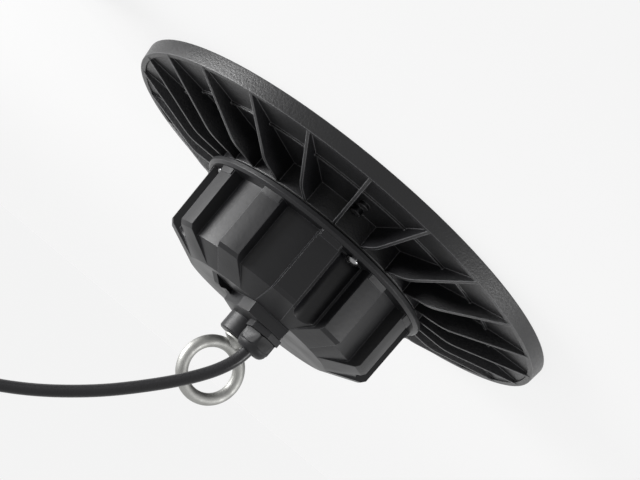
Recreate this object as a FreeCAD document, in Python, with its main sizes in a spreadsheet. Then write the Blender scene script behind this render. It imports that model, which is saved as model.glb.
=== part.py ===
"""High bay luminaire: finned disc heat sink, driver housing, hanging eye and supply cord.

Frame: millimetres, +Z up along the lamp's axis from the lens side to the hanging eye, origin at
the centre of the rim's bottom face, on which the lamp rests when it is put down.
"""
import FreeCAD, Part
import Sketcher
import math
import os

V = FreeCAD.Vector
doc = FreeCAD.newDocument("HighBayLight")

# ---------------------------------------------------------------------------------------------
# Driving dimensions
# ---------------------------------------------------------------------------------------------
SIZES = [
    # heat sink disc
    ("rim_radius", 150.0), ("rim_draft", 1.3), ("rim_height", 8.8), ("rim_wall", 4.6),
    ("plate_bottom", 5.4), ("plate_thick", 2.2), ("ledge_bottom", 4.0), ("ledge_width", 16.5),
    ("ring_rib_radius", 118.0), ("ring_rib_width", 1.6), ("ring_rib_rise", 1.3),
    ("deck_radius", 77.0), ("deck_top", 21.7), ("deck_thick", 3.0), ("deck_wall", 4.0),
    ("wire_hole_radius", 7.0),
    # radial fins
    ("fin_count", 24), ("fin_thick", 1.8), ("fin_flat_end", 94.0), ("fin_bend_radius", 40.0),
    ("fin_root", 1.6),
    # bosses under the light engine screws
    ("pad_count", 6), ("pad_angle", -93.5), ("pad_inset", 26.5), ("pad_size", 3.2),
    ("pad_rise", 2.2), ("inner_pad_gap", 7.0), ("inner_pad_rise", 3.6),
    # light engine and lens
    ("board_gap", 2.9), ("board_thick", 1.5), ("chip_side", 3.2), ("chip_thick", 0.6),
    ("lens_gap", 2.9), ("lens_thick", 1.1), ("lenslet_radius", 5.2),
    ("lenslet_rise", 1.1), ("gasket_thick", 1.0), ("gasket_width", 7.0), ("gasket_inset", 6.0),
    ("lens_screw_count", 12), ("lens_screw_inset", 2.9), ("m3_shank", 1.5), ("m3_head", 2.7),
    ("m3_head_thick", 1.4), ("hole_play", 0.1),
    # driver housing
    ("seal_thick", 1.2), ("seal_width", 15.0), ("flange_proud", 3.3), ("flange_thick", 4.8),
    ("foot_step", 0.6), ("shoulder_step", 1.4), ("shoulder_height", 38.8),
    ("bevel_drop", 2.0), ("bevel_rise", 2.4), ("panel_step", 6.8), ("end_step", 23.0),
    ("housing_height", 54.8), ("housing_wall", 3.2), ("rib_width", 15.0), ("rib_draft", 4.0),
    ("screw_angle", -107.2), ("rib_offset", 13.75), ("channel_inset", 6.5),
    ("channel_radius", 7.5), ("channel_mouth", 10.2), ("channel_floor", 0.8),
    ("foot_pad_rise", 3.6), ("foot_pad_proud", 0.5), ("rib_core_step", 4.0),
    ("rib_core_width", 8.0), ("rib_core_height", 34.0),
    ("m5_shank", 2.5), ("m5_head", 4.3), ("m5_head_thick", 3.4), ("m5_length", 16.0),
    ("boss_radius", 13.0), ("boss_rise", 18.3), ("boss_edge", 0.8), ("pad_block_rise", 6.8),
    ("gusset_angle", -42.0), ("gusset_reach", 45.8), ("gusset_width", 5.0), ("gusset_low", 2.5),
    ("gusset_knob", 3.8),
    # hanging eye
    ("eye_angle", -20.0), ("eye_ring_radius", 17.4), ("eye_wire", 3.75), ("eye_centre", 23.8),
    ("eye_shank", 5.0), ("eye_collar", 7.8), ("eye_collar_thick", 2.0), ("eye_shank_length", 32.0),
    ("washer_radius", 10.0), ("washer_thick", 2.0), ("nut_flat", 17.0), ("nut_thick", 8.0),
    # cable gland
    ("gland_angle", -106.7), ("gland_circle", 33.4), ("gland_flat", 19.6), ("gland_hex_thick", 4.0),
    ("gland_thread", 8.0), ("gland_cap_thick", 7.4), ("gland_dome", 4.4), ("gland_bore", 4.4),
    ("gland_nut_flat", 22.0), ("gland_nut_thick", 4.0),
    # driver inside the housing
    ("sheet_gap", 9.0), ("sheet_thick", 1.0), ("board_end_gap", 17.0),
    ("board_side_gap", 36.0), ("driver_board_thick", 1.6), ("spacer_height", 6.0),
    ("lead_radius", 1.1),
    # supply cord
    ("cord_radius", 3.6), ("core_radius", 1.15), ("coil_radius", 44.0), ("coil_turns_wide", 2),
    ("coil_turns_high", 2), ("coil_x", 250.0), ("coil_y", -92.0), ("tail_angle", -65.0),
    ("tail_length", 58.0), ("core_length", 34.0), ("ferrule_radius", 0.9),
    ("ferrule_length", 10.0), ("tie_thick", 1.2), ("tie_width", 4.8),
]
# sizes that follow from those above: the lens side keeps to the rim, the housing and the
# driver in it keep to the sink's deck
FITTED = [
    ("board_radius", "=rim_radius - rim_wall - ledge_width - board_gap"),
    ("lens_radius", "=rim_radius - rim_wall - lens_gap"),
    ("lens_screw_circle", "=lens_radius - lens_screw_inset"),
    ("gasket_outer", "=lens_radius - gasket_inset"),
    ("gasket_inner", "=gasket_outer - gasket_width"),
    ("pad_radius", "=board_radius - pad_inset"),
    ("inner_pad_radius", "=deck_radius + inner_pad_gap"),
    ("flange_radius", "=deck_radius + flange_proud"),
    ("foot_radius", "=deck_radius - foot_step"),
    ("shoulder_radius", "=foot_radius - shoulder_step"),
    ("panel_radius", "=shoulder_radius - panel_step"),
    ("end_radius", "=shoulder_radius - end_step"),
    ("rib_core_radius", "=shoulder_radius - rib_core_step"),
    ("channel_circle", "=deck_radius - channel_inset"),
    ("sheet_radius", "=panel_radius - housing_wall - sheet_gap"),
    ("driver_board_length", "=2 * (panel_radius - housing_wall - board_end_gap)"),
    ("driver_board_width", "=2 * (panel_radius - housing_wall - board_side_gap)"),
]
sheet = doc.addObject("Spreadsheet::Sheet", "Sizes")
for row, (name, value) in enumerate(SIZES + FITTED, start=1):
    sheet.set("A%d" % row, name)
    sheet.set("B%d" % row, str(value))
    sheet.setAlias("B%d" % row, name)
doc.recompute()
D = {name: float(sheet.get(name)) for name, value in SIZES + FITTED}


def bind(obj, **links):
    """Tie properties of obj to the sheet; a double underscore in a name stands for a dot."""
    for prop, formula in links.items():
        obj.setExpression(prop.replace("__", "."), formula)
    return obj


def cells(formula):
    """Write a formula with bare size names as one that reads the sheet."""
    words = sorted(D, key=len, reverse=True)
    text, place = "", 0
    while place < len(formula):
        at_start = place == 0 or not (formula[place - 1].isalnum() or formula[place - 1] == "_")
        found = next((w for w in words if at_start and formula.startswith(w, place)), None)
        if found and not formula[place + len(found):place + len(found) + 1].isidentifier():
            text += "Sizes." + found
            place += len(found)
        else:
            text += formula[place]
            place += 1
    return text


def place(obj, x="0", y="0", z="0", turn="0"):
    """Put obj at formulas for its position, turned about Z by a formula in degrees."""
    bind(obj, Placement__Base__x=cells(x), Placement__Base__y=cells(y),
         Placement__Base__z=cells(z), Placement__Rotation__Angle=cells(turn))
    return obj


def cylinder(name, radius, height, **where):
    obj = doc.addObject("Part::Cylinder", name)
    bind(obj, Radius=cells(radius), Height=cells(height))
    return place(obj, **where)


def cone(name, low, high, height, **where):
    obj = doc.addObject("Part::Cone", name)
    bind(obj, Radius1=cells(low), Radius2=cells(high), Height=cells(height))
    return place(obj, **where)


def box(name, length, width, height, **where):
    obj = doc.addObject("Part::Box", name)
    bind(obj, Length=cells(length), Width=cells(width), Height=cells(height))
    return place(obj, **where)


def hexagon(name, flats, height, **where):
    obj = doc.addObject("Part::Prism", name)
    obj.Polygon = 6
    bind(obj, Circumradius=cells("(%s) / sqrt(3)" % flats), Height=cells(height))
    return place(obj, **where)


def fuse(name, *parts):
    obj = doc.addObject("Part::MultiFuse", name)
    obj.Shapes = list(parts)
    obj.Refine = True
    return obj


def cut(name, base, tool):
    obj = doc.addObject("Part::Cut", name)
    obj.Base = base
    obj.Tool = tool
    return obj


def common(name, first, second):
    obj = doc.addObject("Part::MultiCommon", name)
    obj.Shapes = [first, second]
    return obj


def group(name, parts):
    obj = doc.addObject("Part::Compound", name)
    obj.Links = list(parts)
    return obj


def polar(circle, angle, step, index):
    """Formulas for the place of copy number index on a circle."""
    turn = "(%s) + (%s) * %d" % (angle, step, index)
    return {"x": "(%s) * cos((%s) * 1 deg)" % (circle, turn),
            "y": "(%s) * sin((%s) * 1 deg)" % (circle, turn),
            "turn": turn}


def new_sketch(body, name, plane):
    sketch = body.newObject("Sketcher::SketchObject", name)
    origin = next(f for f in body.Origin.OriginFeatures if f.Role == plane)
    sketch.AttachmentSupport = [(origin, "")]
    sketch.MapMode = "FlatFace"
    return sketch


def pin_point(sketch, edge, end, across, up):
    """Fix one sketch point at two formulas, measured from the sketch's origin."""
    for kind, formula, axis in (("DistanceX", across, -2), ("DistanceY", up, -1)):
        if formula == "0":
            sketch.addConstraint(Sketcher.Constraint("PointOnObject", edge, end, axis))
        else:
            value = float(sketch.evalExpression(cells(formula)))
            index = sketch.addConstraint(Sketcher.Constraint(kind, -1, 1, edge, end, value))
            sketch.setExpression("Constraints[%d]" % index, cells(formula))


def outline(sketch, points):
    """Closed outline of straight lines whose corners are fixed by pairs of formulas."""
    spots = [V(*(float(sketch.evalExpression(cells(f))) for f in pair), 0) for pair in points]
    count = len(spots)
    edges = [sketch.addGeometry(Part.LineSegment(spots[i], spots[(i + 1) % count]), False)
             for i in range(count)]
    for i in range(count):
        link = Sketcher.Constraint("Coincident", edges[i], 2, edges[(i + 1) % count], 1)
        sketch.addConstraint(link)
    for i in range(count):
        pin_point(sketch, edges[i], 1, *points[i])
    return edges


def turned(name, points):
    """Body of revolution about Z from an outline of (radius, height) formulas."""
    body = doc.addObject("PartDesign::Body", name)
    sketch = new_sketch(body, name + "_section", "XZ_Plane")
    outline(sketch, points)
    doc.recompute()
    spin = body.newObject("PartDesign::Revolution", name + "_turn")
    spin.Profile = sketch
    spin.ReferenceAxis = (sketch, ["V_Axis"])
    spin.Angle = 360
    body.Tip = spin
    doc.recompute()
    return body


NODES = {}


def node(name, obj):
    obj.Label = name
    NODES[name] = obj
    return obj


# ---------------------------------------------------------------------------------------------
# Heat sink: one casting with rim, plate, raised deck, fins, ring rib and screw bosses
# ---------------------------------------------------------------------------------------------
PLATE_TOP = "(plate_bottom + plate_thick)"
RIM_INSIDE = "(rim_radius - rim_wall)"


def fin_section(body):
    """Fin in its radial plane: flat top, then an arc into the straight slope to the rim."""
    sketch = new_sketch(body, "fin_section", "XZ_Plane")
    root = D["plate_bottom"] + D["plate_thick"] - D["fin_root"]
    start = D["deck_radius"] - D["deck_wall"] / 2
    stop = D["rim_radius"] - D["rim_wall"] / 2
    flat, top = D["fin_flat_end"], D["deck_top"]
    bend, low = D["fin_bend_radius"], D["rim_height"]
    reach = math.hypot(stop - flat, low - top + bend)
    lean = math.atan2(low - top + bend, stop - flat) + math.acos(bend / reach)
    touch = V(flat + bend * math.cos(lean), top - bend + bend * math.sin(lean), 0)
    corners = [V(start, root, 0), V(start, top, 0), V(flat, top, 0), touch,
               V(stop, low, 0), V(stop, root, 0)]
    middle = (lean + math.pi / 2) / 2
    crown = V(flat + bend * math.cos(middle), top - bend + bend * math.sin(middle), 0)
    shapes = [Part.LineSegment(corners[0], corners[1]), Part.LineSegment(corners[1], corners[2]),
              Part.Arc(corners[2], crown, touch), Part.LineSegment(touch, corners[4]),
              Part.LineSegment(corners[4], corners[5]), Part.LineSegment(corners[5], corners[0])]
    edges = [sketch.addGeometry(shape, False) for shape in shapes]
    arc = edges[2]
    arc_first, arc_last = 2, 1
    if (sketch.getPoint(arc, 1) - corners[2]).Length < 1e-6:
        arc_first, arc_last = 1, 2
    sketch.addConstraint(Sketcher.Constraint("Coincident", edges[0], 2, edges[1], 1))
    sketch.addConstraint(Sketcher.Constraint("Tangent", edges[1], 2, arc, arc_first))
    sketch.addConstraint(Sketcher.Constraint("Tangent", arc, arc_last, edges[3], 1))
    for first, second in ((3, 4), (4, 5), (5, 0)):
        sketch.addConstraint(
            Sketcher.Constraint("Coincident", edges[first], 2, edges[second], 1))
    radius = sketch.addConstraint(Sketcher.Constraint("Radius", arc, bend))
    sketch.setExpression("Constraints[%d]" % radius, cells("fin_bend_radius"))
    foot = PLATE_TOP + " - fin_root"
    pin_point(sketch, edges[0], 1, "deck_radius - deck_wall / 2", foot)
    pin_point(sketch, edges[1], 1, "deck_radius - deck_wall / 2", "deck_top")
    pin_point(sketch, edges[1], 2, "fin_flat_end", "deck_top")
    pin_point(sketch, edges[4], 1, RIM_INSIDE + " + rim_wall / 2", "rim_height")
    pin_point(sketch, edges[5], 1, RIM_INSIDE + " + rim_wall / 2", foot)
    return sketch


def heat_sink():
    rib_low = "ring_rib_radius - ring_rib_width / 2"
    rib_high = "ring_rib_radius + ring_rib_width / 2"
    rib_top = PLATE_TOP + " + ring_rib_rise"
    body = turned("sink_casting", [
        ("0", "deck_top"), ("deck_radius", "deck_top"), ("deck_radius", PLATE_TOP),
        (rib_low, PLATE_TOP), (rib_low, rib_top), (rib_high, rib_top), (rib_high, PLATE_TOP),
        (RIM_INSIDE + " - 0.4 * rim_draft", PLATE_TOP), (RIM_INSIDE, "rim_height"),
        ("rim_radius - rim_draft", "rim_height"), ("rim_radius", "0"),
        (RIM_INSIDE + " - 0.4 * rim_draft", "0"),
        (RIM_INSIDE + " - 0.4 * rim_draft", "ledge_bottom"),
        (RIM_INSIDE + " - ledge_width", "ledge_bottom"),
        (RIM_INSIDE + " - ledge_width", "plate_bottom"),
        ("deck_radius - deck_wall", "plate_bottom"),
        ("deck_radius - deck_wall", "deck_top - deck_thick"), ("0", "deck_top - deck_thick")])
    fin = body.newObject("PartDesign::Pad", "fin")
    fin.Profile = fin_section(body)
    bind(fin, Length=cells("fin_thick"))
    fin.SideType = "Symmetric"
    doc.recompute()
    fins = body.newObject("PartDesign::PolarPattern", "fins")
    fins.Originals = [fin]
    fins.Axis = (next(f for f in body.Origin.OriginFeatures if f.Role == "Z_Axis"), [""])
    fins.Angle = 360
    bind(fins, Occurrences=cells("fin_count"))
    body.Tip = fins
    doc.recompute()

    bosses, holes = [], []
    for i in range(int(D["pad_count"])):
        spot = polar("pad_radius", "pad_angle", "360 / pad_count", i)
        inner = polar("inner_pad_radius", "pad_angle", "360 / pad_count", i)
        bosses.append(cylinder("board_boss_%d" % i, "pad_size", "plate_thick + pad_rise",
                               z="plate_bottom", **spot))
        bosses.append(cylinder("inner_boss_%d" % i, "pad_size", "plate_thick / 2 + inner_pad_rise",
                               z=PLATE_TOP + " - plate_thick / 2", **inner))
        holes.append(cylinder("board_hole_%d" % i, "m3_shank + hole_play", "4 * m3_shank",
                              z="plate_bottom - 2 * m3_shank", **spot))
    for i in range(4):
        spot = polar("channel_circle", "screw_angle", "90", i)
        bosses.append(cylinder("deck_boss_%d" % i, "2 * m5_shank", "deck_top - plate_bottom - 1",
                               z="plate_bottom + 0.5", **spot))
        holes.append(cylinder("deck_hole_%d" % i, "m5_shank + hole_play", "m5_length",
                              z="deck_top - m5_length + 6", **spot))
    for i in range(int(D["lens_screw_count"])):
        spot = polar("lens_screw_circle", "180 / lens_screw_count", "360 / lens_screw_count", i)
        holes.append(cylinder("lens_hole_%d" % i, "m3_shank + hole_play", "3.2",
                              z="ledge_bottom - 0.2", **spot))
    holes.append(cylinder("wire_hole", "wire_hole_radius", "3 * deck_thick",
                          z="deck_top - 2 * deck_thick"))
    solid = fuse("sink_with_bosses", body, *bosses)
    node("heat_sink", cut("sink_drilled", solid, group("sink_holes", holes)))


heat_sink()


# ---------------------------------------------------------------------------------------------
# Light engine and lens on the lower side
# ---------------------------------------------------------------------------------------------
# each ring's distance in from the board's edge, and how many it holds
CHIP_RINGS = [(88, 12), (60, 20), (34, 26), (9, 34)]
LENS_TOP = "(ledge_bottom - gasket_thick)"
LENS_BOTTOM = "(ledge_bottom - gasket_thick - lens_thick)"


def pan_screw(name, shank, length, head, head_thick, down=True):
    """Screw whose head seats at the local origin; its shank points along +Z or -Z."""
    drop = "0" if down else "-(%s)" % length
    lift = "-(%s)" % head_thick if down else "0"
    low, high = (head + " * 0.8", head) if down else (head, head + " * 0.8")
    parts = [cylinder(name + "_shank", shank, length, z=drop),
             cone(name + "_head", low, high, head_thick, z=lift)]
    return fuse(name, *parts)


def light_engine():
    disc = cylinder("board_disc", "board_radius", "board_thick", z="plate_bottom - board_thick")
    holes = [cylinder("board_bore_%d" % side, "lead_radius + hole_play", "3 * board_thick",
                      x="%d * 4" % side, z="plate_bottom - 2 * board_thick")
             for side in (-1, 1)]
    screws = []
    for i in range(int(D["pad_count"])):
        spot = polar("pad_radius", "pad_angle", "360 / pad_count", i)
        holes.append(cylinder("board_bolt_hole_%d" % i, "m3_shank + hole_play", "3 * board_thick",
                              z="plate_bottom - 2 * board_thick", **spot))
        screw = pan_screw("board_screw_%d" % i, "m3_shank", "board_thick + 2.2", "m3_head",
                          "chip_thick + 0.1")
        screws.append(place(screw, z="plate_bottom - board_thick", **spot))
    node("led_board", cut("board_drilled", disc, group("board_holes", holes)))
    node("board_screws", group("board_screw_set", screws))
    chips = []
    for ring, (inset, count) in enumerate(CHIP_RINGS):
        for i in range(count):
            angle = 360.0 / count * (i + 0.5)
            chip = box("chip_%d_%d" % (ring, i), "chip_side", "chip_side", "chip_thick")
            x = "(board_radius - %d) * cos(%.4f deg) - chip_side / 2" % (inset, angle)
            y = "(board_radius - %d) * sin(%.4f deg) - chip_side / 2" % (inset, angle)
            chips.append(place(chip, x=x, y=y, z="plate_bottom - board_thick - chip_thick"))
    node("led_chips", group("chip_set", chips))


def lens_parts():
    plate = cylinder("lens_disc", "lens_radius", "lens_thick", z=LENS_BOTTOM)
    bumps, holes, screws = [plate], [], []
    for ring, (inset, count) in enumerate(CHIP_RINGS):
        for i in range(count):
            angle = 360.0 / count * (i + 0.5)
            bumps.append(cone("lenslet_%d_%d" % (ring, i), "lenslet_radius * 0.55",
                              "lenslet_radius", "lenslet_rise",
                              x="(board_radius - %d) * cos(%.4f deg)" % (inset, angle),
                              y="(board_radius - %d) * sin(%.4f deg)" % (inset, angle),
                              z=LENS_BOTTOM + " - lenslet_rise"))
    for i in range(int(D["lens_screw_count"])):
        spot = polar("lens_screw_circle", "180 / lens_screw_count", "360 / lens_screw_count", i)
        holes.append(cylinder("lens_bore_%d" % i, "m3_shank + hole_play", "3 * lens_thick",
                              z=LENS_BOTTOM + " - lens_thick", **spot))
        screw = pan_screw("lens_screw_%d" % i, "m3_shank", "lens_thick + gasket_thick + 2.6",
                          "m3_head", "m3_head_thick")
        screws.append(place(screw, z=LENS_BOTTOM, **spot))
    node("lens_plate", cut("lens_drilled", fuse("lens_moulding", *bumps),
                           group("lens_bores", holes)))
    node("lens_screws", group("lens_screw_set", screws))
    ring = cylinder("lens_gasket_ring", "gasket_outer", "gasket_thick", z=LENS_TOP)
    hole = cylinder("lens_gasket_bore", "gasket_inner", "3 * gasket_thick",
                    z=LENS_TOP + " - gasket_thick")
    node("lens_gasket", cut("lens_gasket_cut", ring, hole))


light_engine()
lens_parts()


# ---------------------------------------------------------------------------------------------
# Driver housing: ribbed cover with four screw channels, eye boss and gland platform
# ---------------------------------------------------------------------------------------------
BASE = "(deck_top + seal_thick)"
FLOOR = "(deck_top + seal_thick + flange_thick)"
END = "(deck_top + seal_thick + housing_height)"
SHOULDER = "(deck_top + seal_thick + flange_thick + shoulder_height)"
RIB_ANGLES = [quarter * 90 + side for quarter in range(4) for side in (-1, 0, 1)]


def rib_prism(name, width, outer, low, high, index):
    """Upright tapered bar, wider towards the axis, standing at one of the twelve ribs."""
    quarter, side = divmod(index, 3)
    offset = ("-rib_offset", "rib_offset", "45")[side]
    sketch = doc.addObject("Sketcher::SketchObject", name + "_plan")
    half = "(%s) / 2" % width
    slope = "rib_draft / 2"
    outline(sketch, [("end_radius - 6", "-(%s) - %s" % (half, slope)),
                     (outer, "-(%s) + %s / 2" % (half, slope)),
                     (outer, "(%s) - %s / 2" % (half, slope)),
                     ("end_radius - 6", "(%s) + %s" % (half, slope))])
    bar = doc.addObject("Part::Extrusion", name)
    bar.Base = sketch
    bar.DirMode = "Custom"
    bar.Dir = V(0, 0, 1)
    bar.Solid = True
    bind(bar, LengthFwd=cells("(%s) - (%s)" % (high, low)))
    return place(bar, z=low, turn="screw_angle + %d + %s" % (90 * quarter, offset))


def housing_skin():
    """Outer form with ribs everywhere, and the inner form that the panels are cut back to."""
    outer = turned("housing_outer", [
        ("0", BASE), ("flange_radius - 0.8", BASE), ("flange_radius", BASE + " + 0.8"),
        ("flange_radius", FLOOR + " - 1.6"), ("flange_radius - 1.6", FLOOR),
        ("foot_radius", FLOOR), ("shoulder_radius", SHOULDER),
        ("shoulder_radius - bevel_drop", SHOULDER + " + bevel_rise"),
        ("end_radius", END), ("0", END)])
    core = turned("housing_core", [
        ("0", BASE), ("flange_radius - 0.8", BASE), ("flange_radius", BASE + " + 0.8"),
        ("flange_radius", FLOOR + " - 1.6"), ("flange_radius - 1.6", FLOOR),
        ("panel_radius + 0.6", FLOOR), ("panel_radius", SHOULDER + " + bevel_rise"),
        ("end_radius", END), ("0", END)])
    bars = [rib_prism("rib_bar_%d" % i, "rib_width", "flange_radius + 4", BASE + " + 1",
                      END + " + 1", i) for i in range(12)]
    ribs = common("ribs", outer, group("rib_bars", bars))
    feet = []
    for i in range(12):
        bar = rib_prism("foot_bar_%d" % i, "rib_width - 1.2", "flange_radius + 4", FLOOR + " - 1",
                        FLOOR + " + foot_pad_rise", i)
        feet.append(bar)
    ring = cone("foot_ring", "foot_radius + foot_pad_proud + 0.5", "foot_radius + foot_pad_proud",
                "foot_pad_rise + 1", z=FLOOR + " - 1")
    pads = common("foot_pads", ring, group("foot_bars", feet))
    return fuse("housing_ribbed", core, ribs, pads)


def channel_tools(low, high, radius, name, mouth):
    """Screw channels: a round back about the screw's axis, opening outwards between ribs."""
    tools = []
    for i in range(4):
        spot = polar("channel_circle", "screw_angle", "90", i)
        tools.append(cylinder("%s_back_%d" % (name, i), radius, "(%s) - (%s)" % (high, low),
                              z=low, **spot))
        if mouth:
            plan = doc.addObject("Sketcher::SketchObject", "%s_plan_%d" % (name, i))
            outline(plan, [("channel_circle", "-(%s)" % radius),
                           ("flange_radius + 4", "-channel_mouth - 1.6"),
                           ("flange_radius + 4", "channel_mouth + 1.6"),
                           ("channel_circle", radius)])
            flare = doc.addObject("Part::Extrusion", "%s_mouth_%d" % (name, i))
            flare.Base = plan
            flare.DirMode = "Custom"
            flare.Dir = V(0, 0, 1)
            flare.Solid = True
            bind(flare, LengthFwd=cells("(%s) - (%s)" % (high, low)))
            tools.append(place(flare, z=low, turn="screw_angle + %d" % (90 * i)))
    return tools


def gland_platform():
    """Keystone block that carries the gland, from the eye boss out to the edge of the end."""
    plan = doc.addObject("Sketcher::SketchObject", "platform_plan")
    outline(plan, [("-20", "5"), ("-20.5", "-7"), ("-19.5", "-44"), ("5", "-50"),
                   ("12.5", "-37.5"), ("21", "-18"), ("14", "5")])
    block = doc.addObject("Part::Extrusion", "platform_block")
    block.Base = plan
    block.DirMode = "Custom"
    block.Dir = V(0, 0, 1)
    block.Solid = True
    bind(block, LengthFwd=cells("pad_block_rise + 1"), TaperAngle="-4")
    return place(block, z=END + " - 1")


def boss_gusset():
    """Rib that runs down from the eye boss across the end, with a low knob near its tip."""
    side = doc.addObject("Sketcher::SketchObject", "gusset_side")
    outline(side, [("9", "-1"), ("gusset_reach", "-1"), ("gusset_reach", "0"),
                   ("gusset_reach - 6.5", "gusset_knob - 0.4"),
                   ("gusset_reach - 9", "gusset_knob"), ("gusset_reach - 12.5", "gusset_low"),
                   ("gusset_reach - 16", "gusset_low"), ("boss_radius", "pad_block_rise"),
                   ("9", "pad_block_rise")])
    side.Placement = FreeCAD.Placement(V(), FreeCAD.Rotation(V(1, 0, 0), 90))
    rib = doc.addObject("Part::Extrusion", "gusset")
    rib.Base = side
    rib.DirMode = "Custom"
    rib.Dir = V(0, 1, 0)
    rib.Solid = True
    rib.Symmetric = True
    bind(rib, LengthFwd=cells("gusset_width"))
    return place(rib, z=END, turn="gusset_angle")


def driver_housing():
    skin = housing_skin()
    boss = fuse("eye_boss",
                cylinder("boss_stem", "boss_radius", "boss_rise - boss_edge + 1", z=END + " - 1"),
                cone("boss_tip", "boss_radius", "boss_radius - boss_edge", "boss_edge",
                     z=END + " + boss_rise - boss_edge"),
                cone("boss_flare", "boss_radius + 1.6", "boss_radius", "pad_block_rise + 1",
                     z=END + " - 1"))
    outside = fuse("housing_outside", skin, boss, gland_platform(), boss_gusset())
    tools = channel_tools(FLOOR + " + channel_floor", END + " + 8", "channel_radius", "channel",
                          True)
    shell = cut("housing_channelled", outside, group("channels", tools))
    inner_radius = "(panel_radius - housing_wall)"
    cavity_low = BASE + " - 1"
    cavity = fuse("cavity_round",
                  cylinder("cavity_wall", inner_radius, SHOULDER + " - (%s)" % cavity_low,
                           z=cavity_low),
                  cone("cavity_slope", inner_radius, "end_radius - 4",
                       END + " - housing_wall - " + SHOULDER, z=SHOULDER))
    walls = group("channel_walls", channel_tools(cavity_low, END, "channel_radius + housing_wall",
                                                 "channel_wall", False))
    hollow = [cut("cavity", cavity, walls)]
    for i in range(12):
        quarter, side = divmod(i, 3)
        offset = ("-rib_offset", "rib_offset", "45")[side]
        core = box("rib_core_%d" % i, "6", "rib_core_width", "rib_core_height")
        turn = "(screw_angle + %d + %s)" % (90 * quarter, offset)
        angle = "(%s * 1 deg)" % turn
        x = "(rib_core_radius - 6) * cos%s + rib_core_width / 2 * sin%s" % (angle, angle)
        y = "(rib_core_radius - 6) * sin%s - rib_core_width / 2 * cos%s" % (angle, angle)
        if side == 2:
            hollow.append(place(core, x=x, y=y, z=cavity_low, turn=turn))
    gland_spot = polar("gland_circle", "gland_angle", "0", 0)
    hollow.append(cylinder("eye_bore", "eye_shank + hole_play", "boss_rise + 2 * housing_wall",
                           z=END + " - 1.5 * housing_wall"))
    hollow.append(cylinder("gland_hole", "gland_thread + hole_play",
                           "pad_block_rise + 3 * housing_wall", z=END + " - 2 * housing_wall",
                           **gland_spot))
    for i in range(4):
        spot = polar("channel_circle", "screw_angle", "90", i)
        hollow.append(cylinder("flange_hole_%d" % i, "m5_shank + hole_play", "3 * flange_thick",
                               z=BASE + " - flange_thick", **spot))
    node("driver_housing", cut("housing_hollow", shell, group("housing_tools", hollow)))


def housing_seal_and_screws():
    ring = cylinder("seal_disc", "deck_radius - 0.5", "seal_thick", z="deck_top")
    holes = [cylinder("seal_bore", "deck_radius - seal_width", "3 * seal_thick",
                      z="deck_top - seal_thick")]
    screws = []
    for i in range(4):
        spot = polar("channel_circle", "screw_angle", "90", i)
        holes.append(cylinder("seal_hole_%d" % i, "m5_shank + hole_play", "3 * seal_thick",
                              z="deck_top - seal_thick", **spot))
        screw = pan_screw("housing_screw_%d" % i, "m5_shank", "m5_length", "m5_head",
                          "m5_head_thick", down=False)
        screws.append(place(screw, z=FLOOR + " + channel_floor", **spot))
    node("housing_gasket", cut("seal_cut", ring, group("seal_holes", holes)))
    node("housing_screws", group("housing_screw_set", screws))


driver_housing()
housing_seal_and_screws()


# ---------------------------------------------------------------------------------------------
# Hanging eye bolt with its washer and nut
# ---------------------------------------------------------------------------------------------
BOSS_TOP = "(deck_top + seal_thick + housing_height + boss_rise)"
WALL_UNDER = "(deck_top + seal_thick + housing_height - housing_wall)"


def hanging_eye():
    ring = doc.addObject("Part::Torus", "eye_ring")
    bind(ring, Radius1=cells("eye_ring_radius"), Radius2=cells("eye_wire"))
    ring.Placement = FreeCAD.Placement(V(), FreeCAD.Rotation(V(1, 0, 0), 90))
    bind(ring, Placement__Base__z=cells("eye_centre"))
    collar = cone("eye_collar_disc", "eye_collar", "eye_collar - 0.6", "eye_collar_thick")
    neck = cone("eye_neck", "eye_collar - 1.2", "eye_wire + 0.2",
                "eye_centre - eye_ring_radius - eye_wire / 2 - eye_collar_thick",
                z="eye_collar_thick")
    shank = cylinder("eye_thread", "eye_shank", "eye_shank_length", z="-eye_shank_length")
    bolt = fuse("eye_forging", ring, collar, neck, shank)
    node("eye_bolt", place(bolt, z=BOSS_TOP, turn="eye_angle"))
    washer = cylinder("washer_disc", "washer_radius", "washer_thick",
                      z=WALL_UNDER + " - washer_thick")
    bore = cylinder("washer_bore", "eye_shank + hole_play", "3 * washer_thick",
                    z=WALL_UNDER + " - 2 * washer_thick")
    node("eye_washer", cut("washer_cut", washer, bore))
    nut_low = WALL_UNDER + " - washer_thick - nut_thick"
    nut = hexagon("nut_block", "nut_flat", "nut_thick", z=nut_low)
    thread = cylinder("nut_bore", "eye_shank + hole_play", "2 * nut_thick",
                      z=nut_low + " - nut_thick / 2")
    node("eye_nut", cut("nut_cut", nut, thread))


# ---------------------------------------------------------------------------------------------
# Cable gland on the platform
# ---------------------------------------------------------------------------------------------
GLAND_BASE = "(deck_top + seal_thick + housing_height + pad_block_rise)"


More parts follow.
